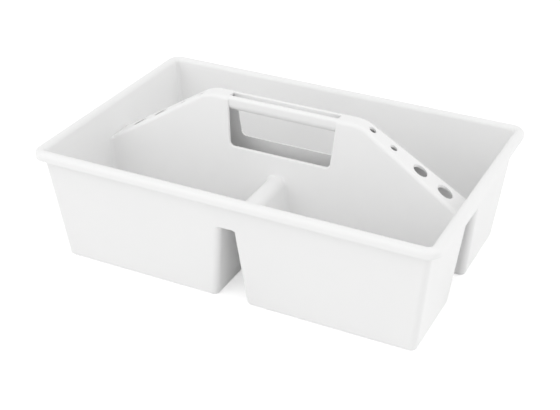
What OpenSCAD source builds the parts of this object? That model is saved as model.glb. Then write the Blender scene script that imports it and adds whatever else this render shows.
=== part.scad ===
// Carry caddy with three bins, a hollow spine that ends in two ramps of tool
// holes, and a hand grip along the top. Every wall leans outwards by one draft
// angle, so that empty caddies stack and the moulding leaves its mould.
// Origin: middle of the base. +X runs along the length, the single long bin is
// on the +Y side, +Z is up. Millimetres.

/* [Tub] */
// Outside length at the base
base_l = 360; // [320:1:420]
// Outside width at the base
base_w = 222; // [200:1:260]
// Height of the rim above the base
rim_h = 118; // [108:1:130]
// Lean of every wall, in degrees
draft = 6; // [4:0.5:7]
// Thickness of the walls, measured level
wall = 2.4; // [1.8:0.1:3]
// Thickness of the bin floors
floor_t = 2.4; // [1.8:0.1:3]

/* [Rounding] */
// Outside radius of all upright corners, at every height
corner_r = 6; // [4:0.5:8]
// Outside radius along the bottom edges
foot_r = 3.5; // [1:0.5:4]
// Radius between floor and walls inside the bins
floor_fillet = 2.2; // [0.5:0.1:2.5]
// Outside radius of the rolled rim
rim_r = 5; // [4:0.5:7]
// Straight skirt below the rolled rim
rim_skirt = 4; // [2:0.5:8]

/* [Spine and divider] */
// Top of the front divider, and of the ramps where they meet the end walls
deck_h = 84.4; // [72:0.2:92]
// Height of the spine's flat top
spine_h = 152.4; // [146:0.2:162]
// Width of the hollow under the spine, at the base
spine_hollow_w = 45.2; // [43:0.2:50]
// Width of the hollow under the front divider, at the base
divider_hollow_w = 29.8; // [26:0.2:36]
// From the hand hole to where the knee of each ramp starts
shoulder_w = 14.1; // [8:0.1:18]
// Radius of the knee between a ramp and the flat top
knee_r = 30; // [10:1:40]

/* [Hand hole] */
// Width of the hand hole at its sill
hand_w = 104.2; // [90:0.2:108]
// Height of its sill above the base
sill_h = 104; // [98:1:112]
// Lean of the hand hole's ends, in degrees
hand_lean = 4.8; // [2:0.1:7]
// Radius of its two lower corners
hand_corner_r = 5; // [2:0.5:8]

/* [Grip] */
// Radius of the grip's round underside, which is half its width
grip_r = 8.4; // [7.5:0.1:8.6]
// Height of the grip bar
grip_h = 15.2; // [12:0.2:18]
// Radius of the grip's top edges
grip_edge_r = 3.4; // [1:0.1:4]
// Width of the groove along the top of the grip
groove_w = 6; // [4.4:0.1:6.6]
// Depth of that groove
groove_depth = 9; // [6:0.5:10]

/* [Tool holes] */
// Diameter of the two small holes in each ramp
small_hole_d = 6.5; // [6:0.1:8]
// Diameter of the large hole in each ramp
large_hole_d = 13; // [10:0.1:15]
// Diameter of the end hole in each ramp
end_hole_d = 14; // [10:0.1:15]
// How far each row of holes stands off the middle of its ramp, towards the grip
row_shift = 3.6; // [0:0.2:6]
// From the first small hole to the second
small_pitch = 21.2; // [16:0.2:23]
// From the second small hole to the large hole
large_pitch = 26.8; // [20:0.2:27]
// From the large hole to the end hole
end_pitch = 24.8; // [20:0.2:25]

/* [Hidden] */

$fn = 64;
eps = 1;                            // how far a cutter runs past what it cuts
blunt = 0.4;                        // flares stop this far before they thin out to nothing
arc_steps = 4;                      // straight steps in a small rounding
corner_steps = 8;                   // flat faces round an upright corner
knee_steps = 6;                     // straight steps in the knee of a ramp
shell = "white";
lean = tan(draft);
soffit_h = deck_h - wall;           // underside of the deck, top of the three tubs
bend_h = rim_h - rim_r;             // where the wall starts to roll over into the rim
hole_d = [small_hole_d, small_hole_d, large_hole_d, end_hole_d];

// Plan of each bin's tub at the base, as [low x, high x, low y, high y]
front_left_plan = [-base_l/2, -divider_hollow_w/2, -base_w/2, -spine_hollow_w/2];
front_right_plan = [divider_hollow_w/2, base_l/2, -base_w/2, -spine_hollow_w/2];
rear_plan = [-base_l/2, base_l/2, spine_hollow_w/2, base_w/2];
tub_plan = [-base_l/2, base_l/2, -base_w/2, base_w/2];

// Half widths that change with height, because every wall leans by the draft
function half_l(z) = base_l/2 + lean*z;
function half_w(z) = base_w/2 + lean*z;
function spine_in(z) = spine_hollow_w/2 - lean*z;
function spine_out(z) = spine_in(z) + wall;
function divider_in(z) = divider_hollow_w/2 - lean*z;
function hand_half(z) = hand_w/2 + tan(hand_lean)*(z - sill_h);
function inset(plan, d) = [plan[0] + d, plan[1] - d, plan[2] + d, plan[3] - d];

// Points of an arc round c, from angle a0 to angle a1
function arc(c, r, a0, a1, steps) =
    [for (i = [0:steps]) c + r*[cos(a0 + (a1 - a0)*i/steps), sin(a0 + (a1 - a0)*i/steps)]];

// Each ramp rises from the end wall and touches its knee, an arc that also
// touches the flat top where the shoulder ends
ramp_foot_x = half_l(deck_h) - wall;
shoulder_x = hand_half(spine_h) + shoulder_w;
knee_centre = [shoulder_x, spine_h - knee_r];
foot_to_knee = [ramp_foot_x - knee_centre.x, knee_centre.y - deck_h];
ramp_angle = atan2(foot_to_knee.y, foot_to_knee.x) + asin(knee_r/norm(foot_to_knee));
slope = tan(ramp_angle);

// The row of holes in each ramp, from the grip to the end wall
row_l = small_pitch + large_pitch + end_pitch;
first_hole_x = (shoulder_x + ramp_foot_x - row_l)/2 - row_shift;
hole_x = [first_hole_x,
          first_hole_x + small_pitch,
          first_hole_x + small_pitch + large_pitch,
          first_hole_x + row_l];

// Upper line of the left ramp and half the flat top, from the end wall to the
// middle, lowered by d square to itself
function knee_arc(d) = arc([-knee_centre.x, knee_centre.y],
                           knee_r - d, 90 + ramp_angle, 90, knee_steps);
function ramp_start(d) = let (z = soffit_h)
    [-ramp_foot_x - (deck_h - d/cos(ramp_angle) - z)/slope, z];
function half_line(d) = concat([ramp_start(d)], knee_arc(d));
function mirrored(points) = [for (i = [len(points) - 1:-1:0]) [-points[i].x, points[i].y]];
function spine_line(d) = concat(half_line(d), mirrored(half_line(d)));

// ---- shared shapes ----------------------------------------------------------

// Carries a wall's section round a rounded rectangle. The section's x is the
// distance out from the corner centres, which stand at the corners of plan.
module carried_round(plan) {
    for (i = [0:3]) {
        ends = [[plan[1], plan[3]], [plan[0], plan[3]], [plan[0], plan[2]], [plan[1], plan[2]]];
        run = i % 2 == 0 ? plan[3] - plan[2] : plan[1] - plan[0];
        translate(ends[i]) rotate(90*i) {
            rotate_extrude(angle = 90) children();
            rotate([90, 0, 0]) linear_extrude(run) children();
        }
    }
}

// Block that runs along X and is bounded in Y by two straight leaning faces.
// low and high give y at z = z0 and z = z1.
module leaning_slab(x0, x1, z0, z1, low, high) {
    translate([x0, 0, 0]) rotate([90, 0, 90]) linear_extrude(x1 - x0)
        polygon([[low[0], z0], [high[0], z0], [high[1], z1], [low[1], z1]]);
}

// An outline drawn in X and Z, carried along Y from y0 to y1
module along_y(y0, y1) {
    translate([0, y1, 0]) rotate([90, 0, 0]) linear_extrude(y1 - y0) children();
}

// Level outline of a block on a plan. The section point p gives its height and
// how far it lies from the corner centre at the base, so its sides lean outwards
// while the corners keep their radius r.
function outline(plan, r, p) = let (c = inset(plan, r - lean*p.y))
    [for (i = [0:3], q = arc([c[i % 3 == 0 ? 1 : 0], c[i < 2 ? 3 : 2]], p.x - lean*p.y,
                             90*i, 90*i + 90, corner_steps)) [q.x, q.y, p.y]];

// Solid through outlines that all have the same number of points
module skinned(outlines) {
    n = len(outlines[0]);
    top = n*(len(outlines) - 1);
    polyhedron(
        points = [for (ring = outlines, q = ring) q],
        faces = concat(
            [[for (i = [0:n - 1]) i]],
            [for (k = [0:n:top - n], i = [0:n - 1])
                [k + i, k + n + i, k + n + (i + 1) % n, k + (i + 1) % n]],
            [[for (i = [n - 1:-1:0]) top + i]]));
}

// Solid block on a plan, with upright corners of radius r and leaning sides
module leaning_block(plan, r, z0, z1)
    skinned([for (z = [z0, z1]) outline(plan, r, [r + lean*z, z])]);

// ---- bins -------------------------------------------------------------------

// A tub with a rounded foot and a fillet between its floor and its walls
module tub(plan) {
    fillet = min(floor_fillet, corner_r - wall);
    foot = [corner_r + lean*foot_r - foot_r/cos(draft), foot_r];
    cove = [corner_r - wall + lean*(floor_t + fillet) - fillet/cos(draft), floor_t + fillet];
    top = soffit_h + eps;
    outside = concat(arc(foot, foot_r, -90, -draft, arc_steps),
                     [[corner_r + lean*soffit_h, soffit_h]]);
    inside = concat(arc(cove, fillet, -90, -draft, arc_steps),
                    [[corner_r - wall + lean*top, top]]);
    color(shell) difference() {
        skinned([for (p = outside) outline(plan, corner_r, p)]);
        skinned([for (p = inside) outline(inset(plan, wall), corner_r - wall, p)]);
    }
}

module front_left_bin() tub(front_left_plan);
module front_right_bin() tub(front_right_plan);
module rear_bin() tub(rear_plan);

// The space inside a bin, carried on upwards past the spine
module bin_space(plan)
    leaning_block(inset(plan, wall), corner_r - wall, soffit_h - eps, spine_h + eps);

// ---- walls above the deck and the rim ---------------------------------------

module upper_walls() difference() {
    leaning_block(tub_plan, corner_r, soffit_h, bend_h);
    leaning_block(inset(tub_plan, wall), corner_r - wall, soffit_h - eps, bend_h + eps);
}
split_y = base_w/2 - corner_r;      // where the long walls meet the short ones

// The long upper wall on the +Y side, with its two corners
module long_wall() color(shell) intersection() {
    upper_walls();
    translate([-base_l, split_y, 0]) cube([2*base_l, base_w, spine_h]);
}

// The short upper wall on the +X side, between the corners
module short_wall() color(shell) intersection() {
    upper_walls();
    translate([0, -split_y, 0]) cube([base_l, 2*split_y, spine_h]);
}

module rear_upper_wall() long_wall();
module front_upper_wall() rotate(180) long_wall();
module right_upper_wall() short_wall();
module left_upper_wall() rotate(180) short_wall();

// Section of the rim: the wall rolls over in a half ring and ends in a skirt
module rim_section() {
    translate([corner_r - wall + rim_r, bend_h]) union() {
        intersection() {
            difference() {
                circle(rim_r);
                circle(rim_r - wall);
            }
            translate([-rim_r - eps, 0]) square([2*(rim_r + eps), rim_r + eps]);
        }
        translate([rim_r - wall, -rim_skirt]) square([wall, rim_skirt]);
    }
}

module rolled_rim() color(shell)
    carried_round(inset(tub_plan, corner_r - lean*bend_h)) rim_section();

// ---- spine and divider ------------------------------------------------------

// The room between the end walls, seen from the front
module between_ends() {
    z1 = spine_h + eps;
    x0 = half_l(soffit_h) - wall;
    x1 = half_l(z1) - wall;
    polygon([[-x0, soffit_h], [x0, soffit_h], [x1, z1], [-x1, z1]]);
}

// The spine seen from the front: under the ramps and the flat top, above the
// deck's underside, less the hand hole
module spine_outline() difference() {
    intersection() {
        polygon(spine_line(0));
        between_ends();
    }
    hand_outline();
}

// The hand hole runs up past the top. Its two lower corners are round.
module hand_outline() {
    top = spine_h + eps;
    r = hand_corner_r;
    corner_x = hand_half(sill_h + r) - r/cos(hand_lean);
    polygon(concat(
        arc([-corner_x, sill_h + r], r, 180 + hand_lean, 270, arc_steps),
        arc([corner_x, sill_h + r], r, 270, 360 - hand_lean, arc_steps),
        [[hand_half(top), top], [-hand_half(top), top]]));
}

// The front wall of the spine. Its flares into the end walls are what the round
// corners of the bins leave. The space over the divider stays clear for the
// divider's own cap.
module spine_front_wall() {
    z0 = soffit_h;
    z1 = spine_h + eps;
    past_flare = divider_hollow_w/2 + corner_r;
    flare = corner_r - blunt;
    color(shell) difference() {
        intersection() {
            along_y(-base_w, base_w) spine_outline();
            leaning_slab(-base_l, base_l, z0, z1,
                [-spine_in(z0) - flare, -spine_in(z1) - flare], [-spine_in(z0), -spine_in(z1)]);
        }
        bin_space(front_left_plan);
        bin_space(front_right_plan);
        leaning_slab(-past_flare, past_flare, z0 - eps, z1 + eps,
            [-base_w, -base_w], [-spine_out(z0 - eps), -spine_out(z1 + eps)]);
    }
}

module spine_rear_wall() {
    z0 = soffit_h;
    z1 = spine_h + eps;
    flare = corner_r - blunt;
    color(shell) difference() {
        intersection() {
            along_y(-base_w, base_w) spine_outline();
            leaning_slab(-base_l, base_l, z0, z1,
                [spine_in(z0), spine_in(z1)], [spine_in(z0) + flare, spine_in(z1) + flare]);
        }
        bin_space(rear_plan);
    }
}

// The cap that joins the two front bins over the divider's hollow, between the
// front wall and the spine
module divider_cap() {
    x0 = divider_in(soffit_h) + corner_r - blunt;
    x1 = divider_in(deck_h) + corner_r - blunt;
    color(shell) difference() {
        intersection() {
            along_y(-base_w, 0)
                polygon([[-x0, soffit_h], [x0, soffit_h], [x1, deck_h], [-x1, deck_h]]);
            leaning_slab(-base_l, base_l, soffit_h, deck_h,
                [wall - half_w(soffit_h), wall - half_w(deck_h)],
                [-spine_out(soffit_h), -spine_out(deck_h)]);
        }
        bin_space(front_left_plan);
        bin_space(front_right_plan);
    }
}

// The skin between the spine's two walls, seen from the front: the band
// between the spine's line and the same line lowered by the wall
module skin_outline() difference() {
    polygon(spine_line(0));
    polygon(concat(spine_line(wall), [[half_l(0), soffit_h - eps], [-half_l(0), soffit_h - eps]]));
}

// A stretch of that skin from x0 to x1
module skin(x0, x1) intersection() {
    along_y(-base_w, base_w) intersection() {
        difference() {
            skin_outline();
            hand_outline();
        }
        between_ends();
        translate([x0, 0]) square([x1 - x0, spine_h + eps]);
    }
    leaning_slab(-base_l, base_l, soffit_h, spine_h + eps,
        [-spine_in(soffit_h), -spine_in(spine_h + eps)],
        [spine_in(soffit_h), spine_in(spine_h + eps)]);
}

// A ramp with its row of upright tool holes. The shoulder starts where the
// knee ends.
module ramp() color(shell) difference() {
    skin(shoulder_x, base_l);
    for (i = [0:len(hole_x) - 1])
        translate([hole_x[i], 0, soffit_h - eps]) cylinder(d = hole_d[i], h = spine_h);
}

module shoulder() color(shell) skin(0, shoulder_x);

module right_ramp() ramp();
module left_ramp() rotate(180) ramp();
module right_shoulder() shoulder();
module left_shoulder() rotate(180) shoulder();

// Section of the grip in Y and Z: round below, eased edges above, a groove
// down the middle
module grip_section() {
    low = spine_h - grip_h + grip_r;
    difference() {
        union() {
            intersection() {
                translate([0, low]) circle(grip_r);
                translate([-grip_r, low - grip_r]) square([2*grip_r, grip_r]);
            }
            translate([-grip_r, low]) square([2*grip_r, spine_h - grip_edge_r - low]);
            for (side = [-1, 1])
                translate([side*(grip_r - grip_edge_r), spine_h - grip_edge_r]) circle(grip_edge_r);
            translate([grip_edge_r - grip_r, low])
                square([2*(grip_r - grip_edge_r), spine_h - low]);
        }
        translate([-groove_w/2, spine_h - groove_depth]) square([groove_w, groove_depth + eps]);
    }
}

// The grip fills the top of the hand hole from end to end
module hand_grip() color(shell) intersection() {
    translate([-base_l/2, 0, 0]) rotate([90, 0, 90]) linear_extrude(base_l) grip_section();
    along_y(-base_w, base_w) hand_outline();
}

front_left_bin();
front_right_bin();
rear_bin();
front_upper_wall();
rear_upper_wall();
left_upper_wall();
right_upper_wall();
rolled_rim();
divider_cap();
spine_front_wall();
spine_rear_wall();
left_ramp();
right_ramp();
left_shoulder();
right_shoulder();
hand_grip();
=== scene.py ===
"""Carry caddy in white moulded plastic: its smooth skins, its finish and a plain studio.

The caddy is one moulding with a constant wall. Most of its skins follow one
idea: the centre line of an upright corner leans outwards with the walls, and
the corner keeps its radius at every height. So a point of a wall is the centre
at that height plus the outward direction times the radius.
"""
import math

import bpy
import numpy as np
from bpy.props import FloatProperty, FloatVectorProperty, IntProperty, PointerProperty
from mathutils import Matrix, Vector


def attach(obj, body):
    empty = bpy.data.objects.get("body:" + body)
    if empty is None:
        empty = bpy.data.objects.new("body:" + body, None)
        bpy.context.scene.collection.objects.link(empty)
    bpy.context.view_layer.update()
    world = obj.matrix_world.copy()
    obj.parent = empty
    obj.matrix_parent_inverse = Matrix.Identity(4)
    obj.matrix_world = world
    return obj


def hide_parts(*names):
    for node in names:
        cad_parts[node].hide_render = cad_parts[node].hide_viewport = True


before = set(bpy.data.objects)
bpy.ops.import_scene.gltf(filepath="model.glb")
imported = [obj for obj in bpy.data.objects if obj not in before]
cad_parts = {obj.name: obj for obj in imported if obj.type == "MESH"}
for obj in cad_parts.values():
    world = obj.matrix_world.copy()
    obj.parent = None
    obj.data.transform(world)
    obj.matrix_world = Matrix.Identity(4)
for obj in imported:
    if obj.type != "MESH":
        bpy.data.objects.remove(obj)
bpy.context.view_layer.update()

bl_info = {
    "name": "Carry caddy",
    "version": (1, 0, 0),
    "blender": (4, 5, 0),
    "location": "3D View > Sidebar > Caddy",
    "description": "Makes the skins, the finish and the studio of a moulded carry caddy",
    "category": "Object",
}

MM = 0.001
BODY = "root"
WELD = 1e-6                 # points closer than this are one point, in metres
SHARP = math.radians(35)    # edges that turn more than this stay crisp
ROUNDS = 6                  # rounds after which a point on a rounded edge stays put
TINY = 1e-6                 # keeps a division off zero

# Place in metres and strength in watts of each square softbox, which faces the caddy.
SOFTBOXES = {
    "right_softbox": ((2.3, 0.2, 2.3), 12),
    "side_softbox": ((3.0, 0.8, 1.0), 8),
    "left_softbox": ((-1.8, -2.6, 1.0), 13),
    "high_softbox": ((-1.0, -2.2, 2.2), 12),
}


def size(label, about, millimetres):
    """A length property, given in millimetres and kept in metres."""
    return FloatProperty(name=label, description=about, default=millimetres * MM,
                         min=0.0, unit="LENGTH", precision=4)


def turn(label, about, degrees):
    """An angle property, given in degrees."""
    return FloatProperty(name=label, description=about, default=math.radians(degrees),
                         subtype="ANGLE")


def share(label, about, value):
    """A plain number from 0 to 1."""
    return FloatProperty(name=label, description=about, default=value, min=0.0, max=1.0,
                         subtype="FACTOR")


class CaddySizes(bpy.types.PropertyGroup):
    """Real sizes of the caddy."""

    base_length: size("Base length", "Outside length of the tubs at the base", 360)
    base_width: size("Base width", "Outside width of the tubs at the base", 222)
    rim_height: size("Rim height", "Top of the rim above the base", 118)
    draft: turn("Draft", "Lean of every wall", 6)
    wall: size("Wall", "Thickness of the moulding", 2.4)
    corner_radius: size("Corner radius", "Outside radius of upright corners", 6)
    foot_radius: size("Foot radius", "Outside radius of the bottom edges", 3.5)
    floor_fillet: size("Floor fillet", "Radius between floor and walls inside", 2.2)
    rim_radius: size("Rim radius", "Outside radius of the rolled rim", 5)
    rim_skirt: size("Rim skirt", "Straight part below the rolled rim", 4)
    skirt_edge: size("Skirt edge", "Radius of the skirt's lower edges", 0.9)
    deck_height: size("Deck height", "Top of the divider and foot of the ramps", 84.4)
    crown_reach: size("Crown reach", "How far the divider's round top turns inwards", 7)
    crown_drop: size("Crown drop", "How far the divider's round top comes down its sides", 8)
    slot_fillet: size("Slot fillet", "Radius in the upper corners of the divider's hollow", 3.5)
    spine_height: size("Spine height", "Top of the spine above the base", 152.4)
    spine_hollow: size("Spine hollow", "Width of the hollow under the spine at the base", 45.2)
    slot_cover: size("Slot cover", "Step between a hollow's ceiling and the lower faces by it", 0.1)
    divider_hollow: size("Divider hollow", "Width of the hollow under the divider", 29.8)
    shoulder_width: size("Shoulder width", "From the hand hole to the start of the knee", 14.1)
    knee_radius: size("Knee radius", "Radius between ramp and flat top", 30)
    spine_edge: size("Spine edge", "Radius of the spine's top edges", 4)
    hand_width: size("Hand hole width", "Width of the hand hole at its sill", 104.2)
    sill_height: size("Sill height", "Sill of the hand hole above the base", 104)
    hand_lean: turn("Hand hole lean", "Lean of the hand hole's ends", 4.8)
    hand_corner: size("Hand hole corner", "Radius of the hand hole's lower corners", 5)
    hand_edge: size("Hand hole edge", "Radius of the hand hole's outer edges", 1.4)
    hand_fade: size("Hand hole fade", "Height over which these edges fade out at the grip", 5)
    grip_radius: size("Grip radius", "Half the width of the grip", 8.4)
    grip_height: size("Grip height", "Height of the grip bar", 15.2)
    grip_edge: size("Grip edge", "Radius of the grip's top edges", 3.4)
    groove_width: size("Groove width", "Width of the groove in the grip", 7.4)
    groove_depth: size("Groove depth", "Depth of the groove in the grip", 9)
    groove_mouth: size("Groove mouth", "Radius of the groove's top edges", 1.3)
    groove_cove: size("Groove cove", "Radius in the groove's floor", 0.7)
    small_hole: size("Small hole", "Diameter of the two small tool holes", 6.5)
    large_hole: size("Large hole", "Diameter of the large tool hole", 13)
    end_hole: size("End hole", "Diameter of the tool hole next to the end wall", 14)
    hole_edge: size("Hole edge", "Radius of the tool holes' mouths", 0.7)
    row_shift: size("Row shift", "How far each row of holes stands off its ramp's middle", 3.6)
    small_pitch: size("Small pitch", "From the first small hole to the second", 21.2)
    large_pitch: size("Large pitch", "From the second small hole to the large hole", 26.8)
    end_pitch: size("End pitch", "From the large hole to the end hole", 24.8)
    corner_steps: IntProperty(name="Corner steps", description="Faces round an upright corner",
                              default=20, min=4)
    edge_steps: IntProperty(name="Edge steps", description="Faces across a rounded edge",
                            default=10, min=3)
    small_steps: IntProperty(name="Small edge steps", default=4, min=2,
                             description="Faces across the edges of the skirt and the holes")
    ramp_steps: IntProperty(name="Ramp steps", description="Faces across a ramp", default=12, min=2)


class CaddyLook(bpy.types.PropertyGroup):
    """Colours, finish and studio light."""

    plastic: FloatVectorProperty(name="Plastic", description="Colour of the moulding",
                                 subtype="COLOR", size=3, min=0, max=1,
                                 default=(0.94, 0.94, 0.938))
    paper: FloatVectorProperty(name="Paper", description="Colour of the floor",
                               subtype="COLOR", size=3, min=0, max=1,
                               default=(0.85, 0.85, 0.85))
    paper_glow: share("Paper glow", "What the camera sees on the paper beside its lit colour", 0.5)
    fill_light: share("Fill light", "Strength of the even light from all round", 0.765)
    roughness: share("Roughness", "Least roughness of the satin plastic", 0.37)
    flow_roughness: share("Flow roughness", "What the flow marks add to the roughness", 0.06)
    grain_roughness: share("Grain roughness", "What the grain adds to the roughness", 0.05)
    cloud_shade: share("Cloud shade", "Darkest part of the clouds beside the colour", 0.975)
    cloud_scale: FloatProperty(name="Cloud scale", description="Clouds in one metre", default=9)
    flow_scale: FloatProperty(name="Flow scale", description="Flow marks in one metre", default=40)
    refraction: FloatProperty(name="Refraction", description="Index of refraction", default=1.49)
    texture_depth: size("Texture depth", "Depth of the fine mould texture", 0.02)
    texture_size: size("Texture size", "Size of the grains of the mould texture", 0.5)
    texture_strength: share("Texture strength", "Strength of the mould texture", 0.35)


# ---- measures and curves ----------------------------------------------------

class Measures:
    """The sizes with what follows from them. All functions take and give arrays."""

    def __init__(self, context):
        s = context.scene.caddy_sizes
        self.s = s
        self.lean = math.tan(s.draft)
        self.soffit = s.deck_height - s.wall
        self.bend = s.rim_height - s.rim_radius
        self.half_length = s.base_length / 2
        self.half_width = s.base_width / 2
        self.centre_x = self.half_length - s.corner_radius
        self.centre_y = self.half_width - s.corner_radius
        self.inner_radius = s.corner_radius - s.wall
        self.spine_centre = s.spine_hollow / 2 + s.corner_radius
        self.divider_centre = s.divider_hollow / 2 + s.corner_radius
        self.ramp_foot = self.half_length + self.lean * s.deck_height - s.wall
        self.shoulder = self.hand_half(s.spine_height) + s.shoulder_width
        run = self.ramp_foot - self.shoulder
        rise = s.spine_height - s.knee_radius - s.deck_height
        self.ramp_angle = math.atan2(rise, run) + math.asin(s.knee_radius / math.hypot(run, rise))
        self.slope = math.tan(self.ramp_angle)
        self.knee_end = self.shoulder + s.knee_radius * math.sin(self.ramp_angle)
        self.crown_start = math.asin(1 - s.wall / s.crown_drop)

    def outer(self, z):
        """Outer face at height z, off the corner centre at the base: radius plus draft."""
        return self.s.corner_radius + self.lean * z

    def inner(self, z):
        """Inner face: the outer one less the wall."""
        return self.outer(z) - self.s.wall

    def spine_face(self, z):
        """Half width of the spine at height z."""
        return self.spine_centre - self.inner(z)

    def top_line(self, x):
        """Height of the spine's top: flat, then a circle at the knee, then the ramp."""
        s = self.s
        x = np.abs(x)
        along = np.clip(x - self.shoulder, 0, s.knee_radius * math.sin(self.ramp_angle))
        knee = s.spine_height - s.knee_radius + np.sqrt(s.knee_radius ** 2 - along ** 2)
        ramp = s.deck_height + (self.ramp_foot - x) * self.slope
        return np.where(x < self.knee_end, knee, ramp)

    def skin_drop(self, x):
        """Wall thickness measured upright under the top line."""
        tilt = np.clip((np.abs(x) - self.shoulder) / self.s.knee_radius, 0,
                       math.sin(self.ramp_angle))
        return self.s.wall / np.sqrt(1 - tilt ** 2)

    def hand_half(self, z):
        """Half width of the hand hole at height z: its ends lean outwards."""
        return self.s.hand_width / 2 + math.tan(self.s.hand_lean) * (z - self.s.sill_height)

    def holes(self):
        """Place and radius of each tool hole of the right ramp."""
        s = self.s
        row = s.small_pitch + s.large_pitch + s.end_pitch
        first = (self.shoulder + self.ramp_foot - row) / 2 - s.row_shift
        places = np.cumsum([first, s.small_pitch, s.large_pitch, s.end_pitch])
        widths = np.array([s.small_hole, s.small_hole, s.large_hole, s.end_hole])
        return list(zip(places, widths / 2))


def arc(centre, radius, start, end, steps):
    """Points of a circle from angle start to angle end, in degrees."""
    a = np.radians(np.linspace(start, end, steps + 1))
    return np.column_stack([centre[0] + radius * np.cos(a), centre[1] + radius * np.sin(a)])


def fan(centre, start, end, steps, drift):
    """Centres, outward directions and drifts round one upright corner.

    The drift tells which way the centre moves with height: +1 or -1 for along X
    and for along Y, or 0.
    """
    directions = arc((0, 0), 1, start, end, steps)
    return np.tile(centre, (steps + 1, 1)), directions, np.tile(drift, (steps + 1, 1))


def joined(*fans):
    """Several fans or straight runs, one after the other."""
    return tuple(np.vstack(parts) for parts in zip(*fans))


def run(points, direction, drift):
    """A straight run of centres that share one outward direction and one drift."""
    points = np.atleast_2d(points)
    return points, np.tile(direction, (len(points), 1)), np.tile(drift, (len(points), 1))


def round_plan(low, high, steps, leaning=True):
    """A closed rounded rectangle whose corner centres are at the corners of low and high."""
    signs = [(1, 1), (-1, 1), (-1, -1), (1, -1)]
    ends = {1: high, -1: low}
    parts = joined(*[
        fan((ends[x][0], ends[y][1]), 90 * i, 90 * i + 90, steps, (x * leaning, y * leaning))
        for i, (x, y) in enumerate(signs)])
    return tuple(np.vstack([part, part[:1]]) for part in parts)


def place(m, plan, radius, z):
    """X and Y of a plan's points: centre, moved by draft and height, plus radius outwards."""
    centres, directions, drifts = plan
    lean = m.lean * z
    return (centres[:, 0] + drifts[:, 0] * lean + directions[:, 0] * radius,
            centres[:, 1] + drifts[:, 1] * lean + directions[:, 1] * radius)


def carried(m, plan, section, middle=(0, 0)):
    """Carries a section round a plan.

    A row of the section is (share, radius, height). The point is the middle plus
    that share of the way to the corner centre at that height, plus the outward
    direction times the radius.
    """
    reach, radius, height = (np.asarray(section)[:, i, None] for i in range(3))
    centres, directions, drifts = plan
    x, y = place(m, (centres - middle, directions, drifts), 0, height)
    return point_grid(middle[0] + reach * x + directions[:, 0] * radius,
                      middle[1] + reach * y + directions[:, 1] * radius,
                      np.broadcast_to(height, x.shape))


def wall_rows(*points):
    """Rows of a section that stay at the full distance from the middle."""
    return [(1, r, z) for r, z in points]


def leaning_rows(m, *points):
    """The same for points measured from the corner centre at the base."""
    return [(1, r - m.lean * z, z) for r, z in points]


def point_grid(x, y, z):
    """Stacks three arrays of one shape into points."""
    return np.stack(np.broadcast_arrays(x, y, z), axis=-1)


def ruled(a, b):
    """Straight lines from each point of curve a to the same point of curve b."""
    return np.stack([a, b])


# ---- meshes -----------------------------------------------------------------

def merged(points):
    """The points to keep where several lie within WELD, and for each point the kept one."""
    keys = np.round(points / WELD).astype(np.int64)
    _, first, index = np.unique(keys, axis=0, return_index=True, return_inverse=True)
    return first, index.reshape(-1)


def grid_faces(patches):
    """Points and four-sided faces of several grids, not merged yet."""
    points, faces, start = [], [], 0
    for patch in patches:
        rows, columns = patch.shape[:2]
        index = np.arange(start, start + rows * columns).reshape(rows, columns)
        faces.append(np.stack([index[:-1, :-1], index[:-1, 1:], index[1:, 1:], index[1:, :-1]],
                              axis=-1).reshape(-1, 4))
        points.append(patch.reshape(-1, 3))
        start += rows * columns
    return np.vstack(points), np.vstack(faces)


def full_faces(faces):
    """Splits faces into true quads and triangles, and drops those that have no area."""
    repeats = faces == np.roll(faces, -1, axis=1)
    folded = (faces[:, 0] == faces[:, 2]) | (faces[:, 1] == faces[:, 3])
    count = repeats.sum(axis=1)
    quads = faces[(count == 0) & ~folded]
    slim = (count == 1) & ~folded
    return quads, faces[slim][~repeats[slim]].reshape(-1, 3)


def skin(fronts, backs):
    """A closed skin from front grids and the back grids behind them.

    The fronts are merged, faces that shrank to a line are dropped, the backs
    follow point by point, and each open edge of the front is joined to the same
    edge of the back by one face. An edge is open if no face runs along it the
    other way.
    """
    points, faces = grid_faces(fronts)
    behind = np.vstack([b.reshape(-1, 3) for b in backs])
    first, index = merged(points)
    points, behind, faces = points[first], behind[first], index[faces]
    faces = faces[(faces != np.roll(faces, -1, axis=1)).sum(axis=1) > 2]
    start, end = faces.reshape(-1), np.roll(faces, -1, axis=1).reshape(-1)
    count = len(points)
    is_open = (start != end) & ~np.isin(start * count + end, end * count + start)
    start, end = start[is_open], end[is_open]
    sides = np.column_stack([end, start, start + count, end + count])
    return np.vstack([points, behind]), np.vstack([faces, faces[:, ::-1] + count, sides])


def volume(points, quads, triangles):
    """Signed volume: a sixth of the triple products of all triangles."""
    tri = np.vstack([quads[:, [0, 1, 2]], quads[:, [0, 2, 3]], triangles])
    a, b, c = points[tri[:, 0]], points[tri[:, 1]], points[tri[:, 2]]
    return np.einsum("ij,ij->i", a, np.cross(b, c)).sum() / 6


def make_piece(name, points, faces, *nodes):
    """Puts a closed surface into the scene, facing outwards, in place of CAD nodes."""
    first, index = merged(points)
    points = points[first]
    quads, triangles = full_faces(index[faces])
    if volume(points, quads, triangles) < 0:
        quads, triangles = quads[:, ::-1], triangles[:, ::-1]
    mesh = bpy.data.meshes.new(name)
    mesh.from_pydata(points.tolist(), [], quads.tolist() + triangles.tolist())
    mesh.polygons.foreach_set("use_smooth", np.ones(len(mesh.polygons), dtype=bool))
    mesh.set_sharp_from_angle(angle=SHARP)
    mesh.validate()
    piece = bpy.data.objects.new(name, mesh)
    bpy.context.scene.collection.objects.link(piece)
    even = piece.modifiers.new("even shading", "WEIGHTED_NORMAL")
    even.keep_sharp = True
    mesh.materials.append(moulded_plastic())
    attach(piece, BODY)
    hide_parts(*nodes)
    return piece


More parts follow.
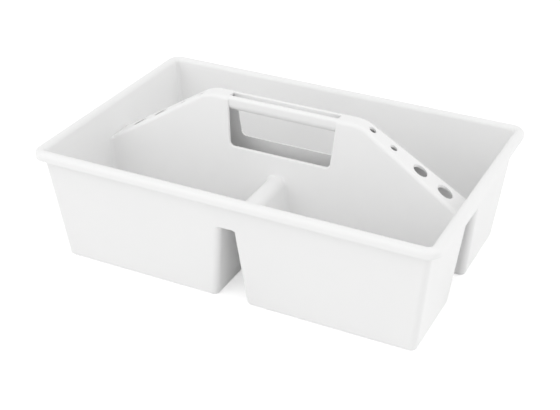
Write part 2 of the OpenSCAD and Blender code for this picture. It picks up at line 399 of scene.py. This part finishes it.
def on_side(patch, x):
    """A grid of the right half, or its mirror image on the left if x is -1.

    The columns of the image are turned round, so that it faces as before.
    """
    return patch if x > 0 else patch[:, ::-1] * (-1, 1, 1)


# ---- the skins --------------------------------------------------------------

def crown_rows(m, start, end, steps):
    """How far the divider's round top has moved inwards, and its height.

    At turn b it has moved by (1 - cos b) of the reach and lies (1 - sin b) of the
    drop below the deck, so its section is a quarter of an ellipse.
    """
    turned = np.linspace(start, end, steps + 1)
    return (m.s.crown_reach * (1 - np.cos(turned)),
            m.s.deck_height - m.s.crown_drop * (1 - np.sin(turned)))


def tub_section(m):
    """Section of a tub: the flat floor, round foot and leaning wall, then the way back inside."""
    s = m.s
    draft = math.degrees(s.draft)
    tilt = 1 / math.cos(s.draft)
    floor = s.wall
    foot = (m.outer(s.foot_radius) - s.foot_radius * tilt, s.foot_radius)
    cove_height = floor + s.floor_fillet
    cove = (m.inner(cove_height) - s.floor_fillet * tilt, cove_height)
    foot_arc = arc(foot, s.foot_radius, -90, -draft, s.edge_steps)
    cove_arc = arc(cove, s.floor_fillet, -draft, -90, s.edge_steps)
    heights = crown_rows(m, m.crown_start, 0, s.edge_steps)[1]
    outside = [(0, 0, 0)] + leaning_rows(m, *foot_arc, (m.outer(m.soffit), m.soffit))
    inside = leaning_rows(m, *[(m.inner(z), z) for z in heights], *cove_arc) + [(0, 0, floor)]
    return outside, inside


def tub(m, low, high, crown=0):
    """A tub on a plan given by its outside corners at the base.

    The crown tells on which side the divider stands, +1 or -1 along X. There the
    corner centres of the inner face move outwards near the top, so the face
    already turns as the divider's round top does above it.
    """
    s = m.s
    low, high = np.array(low) + s.corner_radius, np.array(high) - s.corner_radius
    plan = round_plan(low, high, s.corner_steps)
    outside, inside = (carried(m, plan, part, (low + high) / 2) for part in tub_section(m))
    moved = crown_rows(m, m.crown_start, 0, s.edge_steps)[0]
    inside[:len(moved), :, 0] += crown * moved[:, None] * (crown * plan[2][:, 0] > 0)
    return grid_faces([np.vstack([outside, inside])])


def upper_section(m):
    """Closed section of the wall between the deck and the rim."""
    corners = [(m.outer(m.soffit), m.soffit), (m.outer(m.bend), m.bend),
               (m.inner(m.bend), m.bend), (m.inner(m.soffit), m.soffit)]
    return leaning_rows(m, *corners, corners[0])


def capped(patch):
    """A tube with closed section rows, closed at its first and last column."""
    ends = []
    for column, order in ((0, -1), (-1, 1)):
        ring = patch[:-1, column]
        ends.append(np.stack([ring[[0, 1]], ring[[3, 2]]], axis=1)[:, ::order])
    return [patch] + ends


def rim_section(m):
    """Section of the rim: over the top in a half circle, down the skirt and back under."""
    s = m.s
    draft = math.degrees(s.draft)
    centre = (m.inner_radius + s.rim_radius, m.bend)
    low = m.bend - s.rim_skirt + s.skirt_edge
    outer_x, inner_x = centre[0] + s.rim_radius, centre[0] + s.rim_radius - s.wall
    steps = s.edge_steps
    return wall_rows(
        (m.inner_radius, m.bend),
        *arc(centre, s.rim_radius, 180 - draft, 0, 2 * steps),
        *arc((outer_x - s.skirt_edge, low), s.skirt_edge, 0, -90, s.small_steps),
        *arc((inner_x + s.skirt_edge, low), s.skirt_edge, -90, -180, s.small_steps),
        *arc(centre, s.rim_radius - s.wall, 0, 180 - draft, steps),
        (s.corner_radius, m.bend),
        (m.inner_radius, m.bend))


def spine_columns(m):
    """Places of the upright lines of the spine's far half, from the shoulder outwards."""
    knee = np.linspace(m.shoulder, m.knee_end, m.s.edge_steps + 1)
    marks = [x + side * hole_room(m, r) for x, r in m.holes()[1:] for side in (-1, 1)]
    return np.concatenate([knee, marks, [m.centre_x]])


def hole_room(m, radius):
    """Half the length of the patch of ramp round a tool hole."""
    return radius + 2 * m.s.hole_edge


def far_plan(m):
    """Centres and directions of the spine's far half: straight, then the flare."""
    x = spine_columns(m)
    straight = run(np.column_stack([x, np.full_like(x, m.spine_centre)]), (0, -1), (0, -1))
    flare = fan((m.centre_x, m.spine_centre), 270, 360, m.s.corner_steps, (1, -1))
    angle = np.concatenate([np.zeros(len(x)), np.radians(np.linspace(0, 90, m.s.corner_steps + 1))])
    return joined(straight, flare), angle


def over_edge(m, plan, angle, back):
    """Rows over the spine's rounded edge, from the upright face to the ramp.

    At angle beta the whole face with its flare has moved inwards by (1 - cos
    beta) and lies (1 - sin beta) below the top line. The inner skin starts one
    wall further in and ends below the same line. The top line depends on where
    the point comes to lie, so the place is found in a few rounds.
    """
    s = m.s
    beta = np.radians(np.linspace(0, 90, s.edge_steps + 1))[:, None]
    z = np.full((len(beta), len(angle)), m.soffit)
    moved = s.spine_edge * (1 - np.cos(beta))
    for _ in range(ROUNDS):
        x, y = place(m, plan, m.inner_radius + depth(m, angle, back) * np.cos(beta), z)
        y = y - moved
        top = m.top_line(x)
        fall = np.minimum(s.spine_edge, top - m.soffit)
        if back:
            z = top - m.skin_drop(x) - np.maximum(fall - s.wall, 0) * (1 - np.sin(beta))
            z = np.maximum(z, m.soffit + s.slot_cover)
        else:
            z = top - fall * (1 - np.sin(beta))
    return point_grid(x, y, z)


def depth(m, angle, back):
    """Depth under the spine's face: one wall for the inner skin, less towards a flare's tip."""
    return m.s.wall * np.sqrt(np.cos(angle)) if back else 0


def face_below(m, edge, plan, angle, back):
    """Rows of the upright face from the deck's underside up to the first row of edge."""
    share_up = np.linspace(0, 1, m.s.edge_steps + 1)[:-1, None]
    z = m.soffit + share_up * (edge[0, :, 2] - m.soffit)
    x, y = place(m, plan, m.inner_radius + depth(m, angle, back), z)
    return point_grid(x, y, z)


def spine_far(m, back=False):
    """The spine's skin from the shoulder to the end wall: upright face and rounded edge."""
    plan, angle = far_plan(m)
    edge = over_edge(m, plan, angle, back)
    return np.vstack([face_below(m, edge, plan, angle, back), edge])


def hand_contour(m, top, rows):
    """Points of the hand hole's contour from its middle to the top, and outward directions."""
    s = m.s
    r = s.hand_corner
    lean = math.degrees(s.hand_lean)
    corner = (m.hand_half(s.sill_height + r) - r / math.cos(s.hand_lean), s.sill_height + r)
    bend = arc(corner, r, 270, 360 - lean, s.edge_steps)
    heights = np.linspace(bend[-1, 1], top, rows)[1:]
    side = np.column_stack([m.hand_half(heights), heights])
    turned = arc((0, 0), 1, 270, 360 - lean, s.edge_steps)
    return (np.vstack([[0, s.sill_height], bend, side]),
            np.vstack([turned[:1], turned, np.tile(turned[-1], (len(side), 1))]))


def spine_near(m, far, back):
    """The skin round the hand hole, from the middle to the shoulder.

    Straight lines run from the outer contour, which is the bottom edge and then
    the first column of the far part, to the hand hole. The last rows round the
    hole's edge by a quarter circle, whose radius fades out towards the top.
    """
    s = m.s
    face_rows = s.edge_steps + 1
    side = far[:face_rows, 0]
    top = side[-1, 2]
    hole, outward = hand_contour(m, top, face_rows)
    bottom_x = m.shoulder * np.linspace(0, 1, s.edge_steps + 2)
    bottom = point_grid(bottom_x, m.spine_face(m.soffit) - (s.wall if back else 0), m.soffit)
    outer = np.vstack([bottom, side[1:]])
    radius = s.hand_edge * np.clip((top - hole[:, 1]) / s.hand_fade, 0, 1)
    turned = np.linspace(0, math.pi / 2, s.small_steps + 1)[:, None, None]
    place_xz = hole + outward * radius[:, None] * (1 - np.sin(turned))
    set_back = s.wall if back else radius * (1 - np.cos(turned[..., 0]))
    y = m.spine_face(place_xz[..., 1]) - set_back
    edge = point_grid(place_xz[..., 0], y, place_xz[..., 1])
    return np.vstack([outer[None], edge])


def spine_post_edge(m, far):
    """The rounded edge between the hand hole and the shoulder."""
    shoulder = far[m.s.edge_steps:, 0]
    beside = shoulder.copy()
    beside[:, 0] = m.hand_half(shoulder[:, 2])
    return np.stack([beside, shoulder], axis=1)


def spine_wall(m, side):
    """One wall of the spine, on the +Y side or the -Y side, with both its halves."""
    fronts, backs = [], []
    for patches, back in ((fronts, False), (backs, True)):
        far = spine_far(m, back)
        half = [far, spine_near(m, far, back), spine_post_edge(m, far)]
        for x in (1, -1):
            patches.extend(on_side(p, x) * (1, side, 1) for p in half)
    return skin(fronts, backs)


def ramp_strip(m, columns, half_widths):
    """Flat strip over the ramp between two straight or flared edges."""
    share_across = np.linspace(-1, 1, m.s.ramp_steps + 1)[:, None]
    return point_grid(columns, share_across * half_widths, m.top_line(columns))


def hole_patch(m, x0, radius, half_width_at):
    """Ramp round one tool hole, its rounded mouth and its upright wall.

    The outer contour is a frame of four straight sides, the inner one a circle,
    and the rows between lie on straight lines from one to the other.
    """
    s = m.s
    room = hole_room(m, radius)
    step = np.linspace(-1, 1, s.ramp_steps + 1)
    one = np.ones_like(step)
    frame_x = np.concatenate([one, -step[1:], -one[1:], step[1:]]) * room + x0
    frame_share = np.concatenate([step, one[1:], -step[1:], -one[1:]])
    frame_y = frame_share * half_width_at(frame_x)
    angle = np.arctan2(frame_y, frame_x - x0)
    rows = [(frame_x, frame_y, m.top_line(frame_x))]
    for turned in np.linspace(math.pi / 2, 0, s.small_steps + 1):
        r = radius + s.hole_edge * (1 - math.cos(turned))
        x = x0 + r * np.cos(angle)
        rows.append((x, r * np.sin(angle), m.top_line(x) - s.hole_edge * (1 - math.sin(turned))))
    x, y = x0 + radius * np.cos(angle), radius * np.sin(angle)
    rows.append((x, y, m.top_line(x) - m.skin_drop(x)))
    return np.array([point_grid(*row) for row in rows])


def ramp(m):
    """The right ramp: flat strips and hole patches between the two rounded edges."""
    edge = spine_far(m)[-1]
    edge_x, edge_y = edge[:, 0], edge[:, 1]
    holes = m.holes()

    def half_width_at(x):
        return np.interp(x, edge_x, edge_y)

    fronts = []
    cuts = [m.shoulder] + [x + side * hole_room(m, r) for x, r in holes for side in (-1, 1)]
    for start, end in zip(cuts[::2], cuts[1::2]):
        between = edge_x[(edge_x > start + WELD) & (edge_x < end - WELD)]
        columns = np.concatenate([[start], between, [end]])
        fronts.append(ramp_strip(m, columns, half_width_at(columns)))
    last = edge_x > cuts[-1] + WELD
    columns = np.concatenate([[cuts[-1]], edge_x[last]])
    widths = np.concatenate([[half_width_at(cuts[-1])], edge_y[last]])
    fronts.append(ramp_strip(m, columns, widths))
    fronts.extend(hole_patch(m, x, r, half_width_at) for x, r in holes)
    backs = [under_skin(m, p) for p in fronts]
    return skin(fronts, backs)


def under_skin(m, patch):
    """The same grid on the underside of the skin, straight below.

    Near its foot it stays a little above the lower face of the end wall.
    """
    under = patch.copy()
    below = m.top_line(patch[..., 0]) - m.skin_drop(patch[..., 0])
    under[..., 2] = np.maximum(below, m.soffit + m.s.slot_cover)
    return under


def shoulder(m):
    """The short flat top between the hand hole and the knee."""
    half = m.spine_face(m.s.spine_height) - m.s.spine_edge
    top = m.s.spine_height
    y = np.array([-half, half])
    front = np.stack([point_grid(m.hand_half(top), y, top), point_grid(m.shoulder, y, top)], axis=1)
    return skin([front], [under_skin(m, front)])


def tip_room(radius, angle):
    """How far a fillet may reach past a flare before it meets the plane at the flare's tip.

    At that angle round the flare, the plane is radius / sin(angle) from the centre.
    """
    return radius * (1 / np.maximum(np.sin(angle), TINY) - 1)


def divider(m):
    """The divider's cap: a round top over a hollow with rounded upper corners.

    Its two long sides are mirror images. Above, the face with its flares moves
    inwards as a whole while it turns over the top. Below, it crosses the tub's
    rim, and a concave quarter circle leads from the tub's face to the flat in
    the middle, which also covers the lower faces of the front wall and the spine.
    """
    s = m.s
    steps = s.corner_steps
    x = -m.divider_centre
    front_end, spine_end = (x, -m.centre_y), (x, -m.spine_centre)
    plan = joined(fan(front_end, 270, 360, steps, (1, -1)), fan(spine_end, 0, 90, steps, (1, 1)))
    quarter = np.radians(np.linspace(0, 90, steps + 1))
    angle = np.concatenate([quarter[::-1], quarter])

    moved, z = (part[:, None] for part in crown_rows(m, m.crown_start, math.pi / 2, s.edge_steps))
    face_x, face_y = place(m, plan, m.inner_radius, z)
    above = point_grid(face_x + moved, face_y, z)

    ends = np.arange(len(angle)) % (len(angle) - 1) == 0
    seat = np.where(ends, m.inner_radius, s.corner_radius)
    room = np.where(ends, 0, tip_room(s.corner_radius, angle))
    # Two rows fewer than above, because the face's first row and the seat come before them.
    turned = np.linspace(0, math.pi / 2, s.edge_steps - 1)[:, None]
    reach = np.minimum((1 - np.cos(turned)) * s.slot_fillet, room)
    drop = np.maximum((1 - np.sin(turned)) * s.slot_fillet * ~ends, s.slot_cover)
    radius = np.vstack([seat, s.corner_radius + reach])
    z = m.soffit - np.vstack([0 * seat, drop])
    below = np.vstack([above[:1], point_grid(*place(m, plan, radius, z), z)])

    fronts, backs = ([left, ruled(left[-1], left[-1] * (-1, 1, 1)), (left * (-1, 1, 1))[::-1]]
                     for left in (above, below))
    return skin(fronts, backs)


def grip(m):
    """The grip bar.

    Its section is the band between an outer curve, round below and eased above,
    and the groove. Both curves have the same number of points. The ends lean
    with the hand hole.
    """
    s = m.s
    steps = s.edge_steps
    r, e, mouth, cove = s.grip_radius, s.grip_edge, s.groove_mouth, s.groove_cove
    low = s.spine_height - s.grip_height + r
    top, half = s.spine_height, s.groove_width / 2
    bottom = top - s.groove_depth
    outer = np.vstack([
        arc((-r + e, top - e), e, 90, 180, steps),
        arc((0, low), r, 180, 360, 4 * steps),
        arc((r - e, top - e), e, 0, 90, steps)])
    inner = np.vstack([
        arc((-half - mouth, top - mouth), mouth, 90, 0, 2 * steps),
        arc((-half + cove, bottom + cove), cove, 180, 270, steps),
        arc((half - cove, bottom + cove), cove, 270, 360, steps),
        arc((half + mouth, top - mouth), mouth, 180, 90, 2 * steps)])
    inner = inner[np.linspace(0, len(inner) - 1, len(outer)).round().astype(int)]
    (left_out, left_in), (right_out, right_in) = (
        [point_grid(side * m.hand_half(z), y, z) for y, z in (outer.T, inner.T)]
        for side in (-1, 1))
    around = [ruled(left_out, right_out), ruled(right_in, left_in),
              ruled(right_out, right_in), ruled(left_in, left_out)]
    rims = [np.stack([np.stack([left_in[k], left_out[k]]), np.stack([right_in[k], right_out[k]])])
            for k in (0, -1)]
    rims[1] = rims[1][:, ::-1]
    return grid_faces(around + rims)


# ---- shader maths -----------------------------------------------------------

class Sock:
    """A node socket that can be used in plain sums."""

    def __init__(self, tree, socket):
        self.tree = tree
        self.socket = socket

    def node(self, kind, inputs, output=0, **settings):
        """Adds any node: its settings first, then values or links for its sockets."""
        made = self.tree.nodes.new(kind)
        for key, value in settings.items():
            setattr(made, key, value)
        for key, value in inputs.items():
            if isinstance(value, Sock):
                self.tree.links.new(value.socket, made.inputs[key])
            else:
                made.inputs[key].default_value = value
        return Sock(self.tree, made.outputs[output])

    def maths(self, operation, a, b):
        return self.node("ShaderNodeMath", {0: a, 1: b}, operation=operation)

    def __add__(self, other):
        return self.maths("ADD", self, other)

    def __rsub__(self, other):
        return self.maths("SUBTRACT", other, self)

    def __mul__(self, other):
        return self.maths("MULTIPLY", self, other)

    __radd__ = __add__
    __rmul__ = __mul__

    def mix(self, a, b):
        """Colour between a and b, with this socket as the factor.

        The node's inputs 6 and 7 and its output 2 are those for colours.
        """
        return self.node("ShaderNodeMix", {0: self, 6: a, 7: b}, output=2, data_type="RGBA")

    def noise(self, scale, detail):
        """Noise over this socket's coordinates."""
        return self.node("ShaderNodeTexNoise", {"Vector": self, "Scale": scale, "Detail": detail})


def fresh_material(name):
    """An empty material, its node tree and its output node."""
    material = bpy.data.materials.new(name)
    material.use_nodes = True
    material.node_tree.nodes.clear()
    output = material.node_tree.nodes.new("ShaderNodeOutputMaterial")
    return material, material.node_tree, output


def moulded_plastic():
    """Satin white polypropylene with a fine mould texture and faint flow marks."""
    if "moulded_plastic" in bpy.data.materials:
        return bpy.data.materials["moulded_plastic"]
    look = bpy.context.scene.caddy_look
    material, tree, output = fresh_material("moulded_plastic")
    spot = Sock(tree, tree.nodes.new("ShaderNodeTexCoord").outputs["Object"])
    grain = spot.noise(1 / look.texture_size, detail=3)
    cloud = spot.noise(look.cloud_scale, detail=3)
    flow = spot.noise(look.flow_scale, detail=2)
    base = tuple(look.plastic) + (1.0,)
    deep = tuple(c * look.cloud_shade for c in look.plastic) + (1.0,)
    colour = cloud.mix(base, deep)
    roughness = look.roughness + look.flow_roughness * flow + look.grain_roughness * grain
    bump = grain.node("ShaderNodeBump", {"Height": grain, "Distance": look.texture_depth,
                                         "Strength": look.texture_strength})
    shader = grain.node("ShaderNodeBsdfPrincipled", {
        "Base Color": colour, "Roughness": roughness, "Normal": bump, "IOR": look.refraction})
    tree.links.new(shader.socket, output.inputs["Surface"])
    return material


def seen_directly(tree):
    """1 for rays from the camera or from a mirror-like surface, 0 for all others."""
    path = tree.nodes.new("ShaderNodeLightPath")
    camera, glossy = (Sock(tree, path.outputs[name]) for name in ("Is Camera Ray", "Is Glossy Ray"))
    return camera.maths("MAXIMUM", camera, glossy)


def paper_floor():
    """Pale paper that the camera sees as white, and that still takes a soft shadow."""
    look = bpy.context.scene.caddy_look
    material, tree, output = fresh_material("paper_floor")
    seen = seen_directly(tree)
    colour = tuple(look.paper) + (1.0,)
    lit = seen.node("ShaderNodeBsdfDiffuse", {"Color": colour})
    glow = seen.node("ShaderNodeEmission", {"Color": (1, 1, 1, 1),
                                            "Strength": seen * look.paper_glow})
    both = seen.node("ShaderNodeAddShader", {0: lit, 1: glow})
    tree.links.new(both.socket, output.inputs["Surface"])
    return material


# ---- operators --------------------------------------------------------------

class CADDY_OT_tubs(bpy.types.Operator):
    """Make the three tubs with their floors"""

    bl_idname = "caddy.tubs"
    bl_label = "Tubs"

    def execute(self, context):
        m = Measures(context)
        x0, x1 = m.half_length, m.s.divider_hollow / 2
        y0, y1 = m.half_width, m.s.spine_hollow / 2
        make_piece("front_left_tub", *tub(m, (-x0, -y0), (-x1, -y1), 1), "front_left_bin")
        make_piece("front_right_tub", *tub(m, (x1, -y0), (x0, -y1), -1), "front_right_bin")
        make_piece("rear_tub", *tub(m, (-x0, y1), (x0, y0)), "rear_bin")
        return {"FINISHED"}


class CADDY_OT_upper_walls(bpy.types.Operator):
    """Make the four walls between the deck and the rim"""

    bl_idname = "caddy.upper_walls"
    bl_label = "Upper walls"

    def execute(self, context):
        m = Measures(context)
        x, y = m.centre_x, m.centre_y
        steps = m.s.corner_steps
        long_plan = joined(run((x, y), (1, 0), (1, 0)), fan((x, y), 0, 90, steps, (1, 1)),
                           fan((-x, y), 90, 180, steps, (-1, 1)), run((-x, y), (-1, 0), (-1, 0)))
        short_plan = run([(x, -y), (x, y)], (1, 0), (1, 0))
        for side, name in ((1, "rear"), (-1, "front")):
            patches = capped(carried(m, long_plan, upper_section(m)) * (side, side, 1))
            make_piece(f"{name}_wall_skin", *grid_faces(patches), f"{name}_upper_wall")
        for side, name in ((1, "right"), (-1, "left")):
            patches = capped(carried(m, short_plan, upper_section(m)) * (side, side, 1))
            make_piece(f"{name}_wall_skin", *grid_faces(patches), f"{name}_upper_wall")
        return {"FINISHED"}


class CADDY_OT_rim(bpy.types.Operator):
    """Make the rolled rim"""

    bl_idname = "caddy.rim"
    bl_label = "Rolled rim"

    def execute(self, context):
        m = Measures(context)
        corner = np.array([m.centre_x, m.centre_y]) + m.lean * m.bend
        plan = round_plan(-corner, corner, m.s.corner_steps, leaning=False)
        make_piece("rim_roll", *grid_faces([carried(m, plan, rim_section(m))]), "rolled_rim")
        return {"FINISHED"}


class CADDY_OT_spine(bpy.types.Operator):
    """Make the two walls of the spine"""

    bl_idname = "caddy.spine"
    bl_label = "Spine walls"

    def execute(self, context):
        m = Measures(context)
        make_piece("spine_front_skin", *spine_wall(m, -1), "spine_front_wall")
        make_piece("spine_rear_skin", *spine_wall(m, 1), "spine_rear_wall")
        return {"FINISHED"}


class CADDY_OT_ramps(bpy.types.Operator):
    """Make the ramps with their tool holes, and the shoulders above them"""

    bl_idname = "caddy.ramps"
    bl_label = "Ramps and shoulders"

    def execute(self, context):
        m = Measures(context)
        for side, name in ((1, "right"), (-1, "left")):
            turned = (side, side, 1)
            points, faces = ramp(m)
            make_piece(f"{name}_ramp_skin", points * turned, faces, f"{name}_ramp")
            points, faces = shoulder(m)
            make_piece(f"{name}_shoulder_skin", points * turned, faces, f"{name}_shoulder")
        return {"FINISHED"}


class CADDY_OT_divider(bpy.types.Operator):
    """Make the cap of the front divider"""

    bl_idname = "caddy.divider"
    bl_label = "Divider cap"

    def execute(self, context):
        make_piece("divider_skin", *divider(Measures(context)), "divider_cap")
        return {"FINISHED"}


class CADDY_OT_grip(bpy.types.Operator):
    """Make the hand grip with its groove"""

    bl_idname = "caddy.grip"
    bl_label = "Hand grip"

    def execute(self, context):
        make_piece("grip_bar", *grip(Measures(context)), "hand_grip")
        return {"FINISHED"}


class CADDY_OT_stage(bpy.types.Operator):
    """Make the floor, the soft light and the camera"""

    bl_idname = "caddy.stage"
    bl_label = "Stage"

    floor_size: size("Floor size", "Side of the floor", 12000)
    softbox_side: size("Softbox side", "Side of each square softbox", 2400)
    focal_length: FloatProperty(name="Focal length", description="Of the camera, in millimetres",
                                default=74.87, min=1)
    sensor_width: FloatProperty(name="Sensor width", description="Of the camera, in millimetres",
                                default=36, min=1)
    azimuth: turn("Azimuth", "How far the camera stands round to the right", 25.08)
    elevation: turn("Elevation", "How steeply the camera looks down", 29.95)
    roll: turn("Roll", "How far the camera leans", 0.82)
    camera_place: FloatVectorProperty(name="Camera place", description="Where the camera stands",
                                      subtype="TRANSLATION", size=3,
                                      default=(0.4301, -0.8888, 0.6136))
    shift: FloatProperty(name="Shift", description="Sideways shift of the picture",
                         default=-0.0314)

    def execute(self, context):
        self.lay_floor(context)
        self.hang_lights(context)
        self.set_camera(context)
        context.scene.view_settings.view_transform = "Standard"
        return {"FINISHED"}

    def lay_floor(self, context):
        half = self.floor_size / 2
        x, y = np.meshgrid([-half, half], [-half, half])
        points, faces = grid_faces([point_grid(x, y, np.zeros_like(x))])
        mesh = bpy.data.meshes.new("floor")
        mesh.from_pydata(points.tolist(), [], faces.tolist())
        floor = bpy.data.objects.new("floor", mesh)
        context.scene.collection.objects.link(floor)
        mesh.materials.append(paper_floor())

    def hang_lights(self, context):
        world = bpy.data.worlds.new("studio")
        context.scene.world = world
        world.use_nodes = True
        tree = world.node_tree
        seen = seen_directly(tree)
        fill = context.scene.caddy_look.fill_light
        background = tree.nodes["Background"]
        background.inputs["Color"].default_value = (1, 1, 1, 1)
        tree.links.new((seen + fill * (1 - seen)).socket, background.inputs["Strength"])
        for name, (spot, watts) in SOFTBOXES.items():
            lamp = bpy.data.lights.new(name, "AREA")
            lamp.energy = watts
            lamp.size = self.softbox_side
            holder = bpy.data.objects.new(name, lamp)
            holder.location = spot
            holder.rotation_euler = (-Vector(spot)).to_track_quat("-Z", "Y").to_euler()
            context.scene.collection.objects.link(holder)

    def set_camera(self, context):
        az, el = self.azimuth, self.elevation
        back = Vector((math.sin(az) * math.cos(el), -math.cos(az) * math.cos(el), math.sin(el)))
        right = Vector((math.cos(az), math.sin(az), 0))
        up = back.cross(right)
        right, up = (right * math.cos(self.roll) + up * math.sin(self.roll),
                     up * math.cos(self.roll) - right * math.sin(self.roll))
        lens = bpy.data.cameras.new("camera")
        lens.lens = self.focal_length
        lens.sensor_width = self.sensor_width
        lens.shift_x = self.shift
        camera = bpy.data.objects.new("camera", lens)
        turn_matrix = Matrix((right, up, back)).transposed().to_4x4()
        camera.matrix_world = Matrix.Translation(self.camera_place) @ turn_matrix
        context.scene.collection.objects.link(camera)
        context.scene.camera = camera


PIECE_OPERATORS = (CADDY_OT_tubs, CADDY_OT_upper_walls, CADDY_OT_rim, CADDY_OT_spine,
                   CADDY_OT_ramps, CADDY_OT_divider, CADDY_OT_grip)


class CADDY_PT_panel(bpy.types.Panel):
    """Lists the caddy's pieces in the sidebar"""

    bl_idname = "CADDY_PT_panel"
    bl_label = "Carry caddy"
    bl_space_type = "VIEW_3D"
    bl_region_type = "UI"
    bl_category = "Caddy"

    def draw(self, context):
        for operator in PIECE_OPERATORS + (CADDY_OT_stage,):
            self.layout.operator(operator.bl_idname)


CLASSES = (CaddySizes, CaddyLook) + PIECE_OPERATORS + (CADDY_OT_stage, CADDY_PT_panel)


def register():
    for cls in CLASSES:
        bpy.utils.register_class(cls)
    bpy.types.Scene.caddy_sizes = PointerProperty(type=CaddySizes)
    bpy.types.Scene.caddy_look = PointerProperty(type=CaddyLook)


def unregister():
    del bpy.types.Scene.caddy_look
    del bpy.types.Scene.caddy_sizes
    for cls in reversed(CLASSES):
        bpy.utils.unregister_class(cls)


def main():
    register()
    bpy.ops.caddy.stage()
    bpy.ops.caddy.tubs()
    bpy.ops.caddy.upper_walls()
    bpy.ops.caddy.rim()
    bpy.ops.caddy.spine()
    bpy.ops.caddy.ramps()
    bpy.ops.caddy.divider()
    bpy.ops.caddy.grip()


if __name__ == "__main__":
    main()
